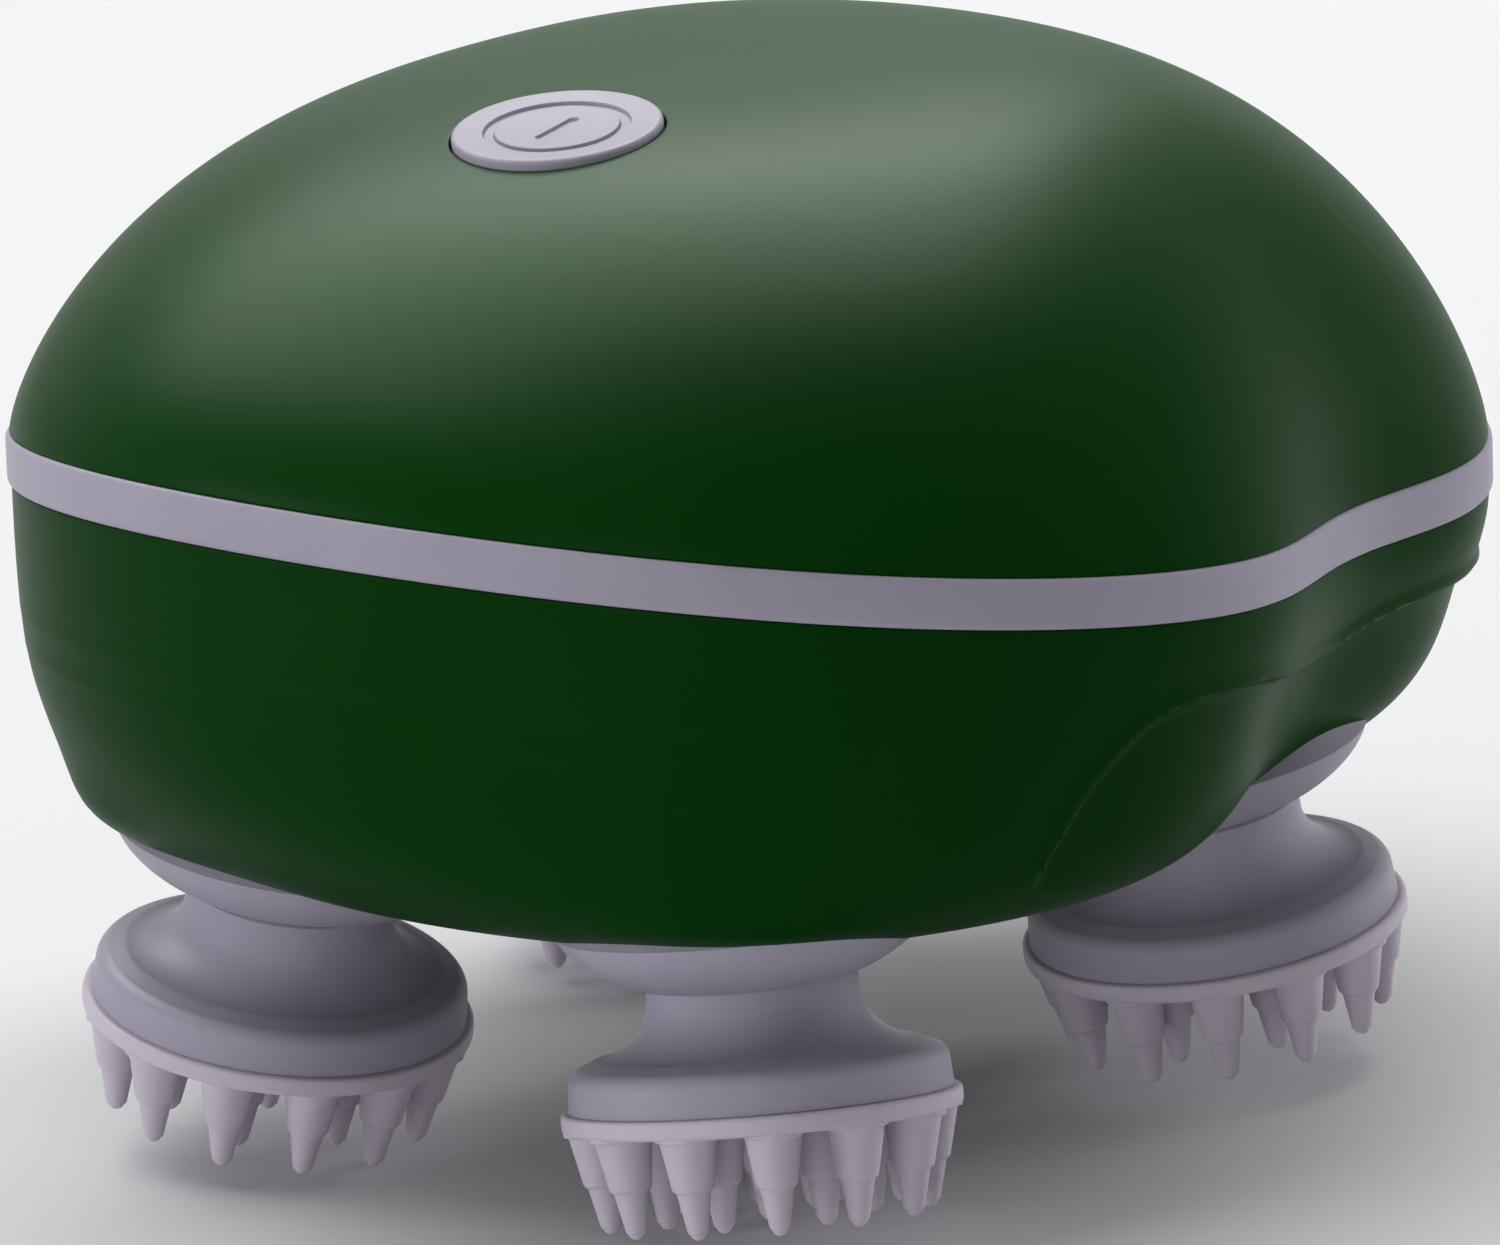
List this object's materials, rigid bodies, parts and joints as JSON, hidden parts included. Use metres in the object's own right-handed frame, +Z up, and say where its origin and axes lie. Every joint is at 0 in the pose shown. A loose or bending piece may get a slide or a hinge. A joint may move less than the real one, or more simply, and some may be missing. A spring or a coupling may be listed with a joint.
{
  "type": "electric scalp massager",
  "caption": "Hand-held scalp massager: rounded green body with a lavender band, a power button on top and rocking, turning heads with soft stepped fingers below.",
  "frame": {"origin": "on the table under the middle of the body, at the level of the lowest finger tip", "axes": "+X towards the front where the button is, +Y towards the body's left side, +Z up"},
  "size_m": [0.1182, 0.1028, 0.0814],
  "materials": {
    "green_shell": "smooth gloss",
    "lavender_plastic": "satin",
    "lavender_silicone": "soft satin",
    "black_rubber": "matt",
    "black_plastic": "satin",
    "green_board": "coated glass-fibre board",
    "steel": "bright",
    "blue_sleeve": "can in a thin blue shrink sleeve",
    "nylon": "moulded",
    "bronze": "sintered"
  },
  "bodies": {
    "housing": {"upper_shell": "green_shell", "lower_shell": "green_shell", "trim_band": "lavender_plastic", "shell_gasket": "black_rubber", "tact_switch": "steel", "switch_board": "green_board", "control_board": "green_board", "board_components": "black_plastic", "battery_cell": "blue_sleeve", "battery_cradle": "black_plastic", "motor_can": "steel", "motor_gearbox": "black_plastic", "centre_axle": "steel", "chassis_base": "black_plastic", "chassis_cover": "black_plastic", "charging_socket": "black_plastic", "spindle_bushes": "bronze", "spindle_seals": "black_rubber", "case_screws": "steel", "chassis_screws": "steel", "switch_screws": "steel", "collar_front_left": "lavender_plastic", "collar_front_right": "lavender_plastic", "collar_rear_left": "lavender_plastic", "collar_rear_right": "lavender_plastic"},
    "button": {"power_button": "lavender_plastic", "switch_plunger": "black_plastic"},
    "centre_gear": {"centre_gear": "nylon"},
    "pinion": {"drive_pinion": "nylon"},
    "head_gear_front_left": {"head_gear_front_left": "nylon"},
    "head_front_left": {"spindle_front_left": "steel", "head_disc_front_left": "lavender_plastic", "finger_pad_front_left": "lavender_silicone", "disc_screw_front_left": "steel"},
    "head_gear_front_right": {"head_gear_front_right": "nylon"},
    "head_front_right": {"spindle_front_right": "steel", "head_disc_front_right": "lavender_plastic", "finger_pad_front_right": "lavender_silicone", "disc_screw_front_right": "steel"},
    "head_gear_rear_left": {"head_gear_rear_left": "nylon"},
    "head_rear_left": {"spindle_rear_left": "steel", "head_disc_rear_left": "lavender_plastic", "finger_pad_rear_left": "lavender_silicone", "disc_screw_rear_left": "steel"},
    "head_gear_rear_right": {"head_gear_rear_right": "nylon"},
    "head_rear_right": {"spindle_rear_right": "steel", "head_disc_rear_right": "lavender_plastic", "finger_pad_rear_right": "lavender_silicone", "disc_screw_rear_right": "steel"}
  },
  "joints": [
    {"name": "button_press", "type": "slide", "parent": "housing", "child": "button", "axis": [0.1077, 0, 0.9942], "range_m": [-0.0008, 0], "stiffness_N_per_m": 600},
    {"name": "centre_gear_spin", "type": "hinge", "parent": "housing", "child": "centre_gear", "pos_m": [0.00436, 0, 0.03651], "axis": [0, 0, 1], "continuous": true},
    {"name": "pinion_spin", "type": "hinge", "parent": "housing", "child": "pinion", "pos_m": [-0.02399, 0, 0.03651], "axis": [0, 0, 1], "continuous": true},
    {"name": "head_gear_front_left_spin", "type": "hinge", "parent": "housing", "child": "head_gear_front_left", "pos_m": [0.03134, 0.01941, 0.03651], "axis": [0, 0, 1], "continuous": true},
    {"name": "head_front_left_spin", "type": "hinge", "parent": "housing", "child": "head_front_left", "pos_m": [0.0324, 0.0214, 0.0204], "axis": [-0.0791, -0.1488, 0.9857], "continuous": true},
    {"name": "head_gear_front_right_spin", "type": "hinge", "parent": "housing", "child": "head_gear_front_right", "pos_m": [0.03134, -0.01941, 0.03651], "axis": [0, 0, 1], "continuous": true},
    {"name": "head_front_right_spin", "type": "hinge", "parent": "housing", "child": "head_front_right", "pos_m": [0.0324, -0.0214, 0.0204], "axis": [-0.0791, 0.1488, 0.9857], "continuous": true},
    {"name": "head_gear_rear_left_spin", "type": "hinge", "parent": "housing", "child": "head_gear_rear_left", "pos_m": [-0.01884, 0.02381, 0.03651], "axis": [0, 0, 1], "continuous": true},
    {"name": "head_rear_left_spin", "type": "hinge", "parent": "housing", "child": "head_rear_left", "pos_m": [-0.0199, 0.0258, 0.0204], "axis": [0.0791, -0.1488, 0.9857], "continuous": true},
    {"name": "head_gear_rear_right_spin", "type": "hinge", "parent": "housing", "child": "head_gear_rear_right", "pos_m": [-0.01884, -0.02381, 0.03651], "axis": [0, 0, 1], "continuous": true},
    {"name": "head_rear_right_spin", "type": "hinge", "parent": "housing", "child": "head_rear_right", "pos_m": [-0.0199, -0.0258, 0.0204], "axis": [0.0791, 0.1488, 0.9857], "continuous": true}
  ],
  "couplings": [
    {"joint": "pinion_spin", "follows": "centre_gear_spin", "ratio": -3.8333},
    {"joint": "head_gear_front_left_spin", "follows": "centre_gear_spin", "ratio": -2.0909},
    {"joint": "head_front_left_spin", "follows": "centre_gear_spin", "ratio": -2.0909},
    {"joint": "head_gear_front_right_spin", "follows": "centre_gear_spin", "ratio": -2.0909},
    {"joint": "head_front_right_spin", "follows": "centre_gear_spin", "ratio": -2.0909},
    {"joint": "head_gear_rear_left_spin", "follows": "centre_gear_spin", "ratio": -2.0909},
    {"joint": "head_rear_left_spin", "follows": "centre_gear_spin", "ratio": -2.0909},
    {"joint": "head_gear_rear_right_spin", "follows": "centre_gear_spin", "ratio": -2.0909},
    {"joint": "head_rear_right_spin", "follows": "centre_gear_spin", "ratio": -2.0909}
  ]
}
